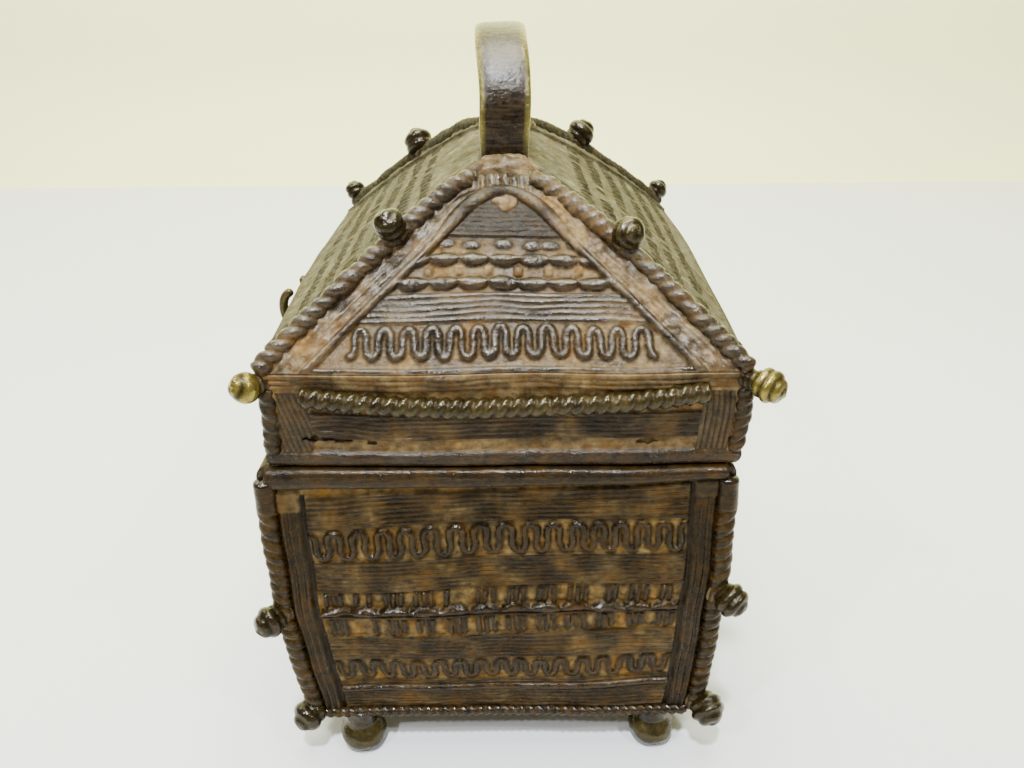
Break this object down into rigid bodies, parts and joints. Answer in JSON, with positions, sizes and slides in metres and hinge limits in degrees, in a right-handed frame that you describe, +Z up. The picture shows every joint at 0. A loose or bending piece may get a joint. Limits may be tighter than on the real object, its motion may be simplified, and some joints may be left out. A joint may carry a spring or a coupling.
{
  "type": "reliquary casket",
  "caption": "Small house-shaped cast brass casket on ball feet, with a loose pitched lid, a strap handle, corner knobs and rows of thread and coil ornament.",
  "frame": {"origin": "middle of the casket's own box, at the surface it stands on", "axes": "+Z up, +Y along the ridge from the near end to the far end, +X to the right as seen from the near end"},
  "size_m": [0.115, 0.1356, 0.1705],
  "materials": {
    "body_brass": "dark brown patina over cast brass, glossy on the raised wires, ochre casting clay in the recesses",
    "lid_brass": "dark brown patina over cast brass, dusty on the slopes, rubbed to yellow brass on the knobs and on the handle's edges"
  },
  "bodies": {
    "root": {"casket_body": "body_brass", "lid": "lid_brass"}
  },
  "joints": []
}
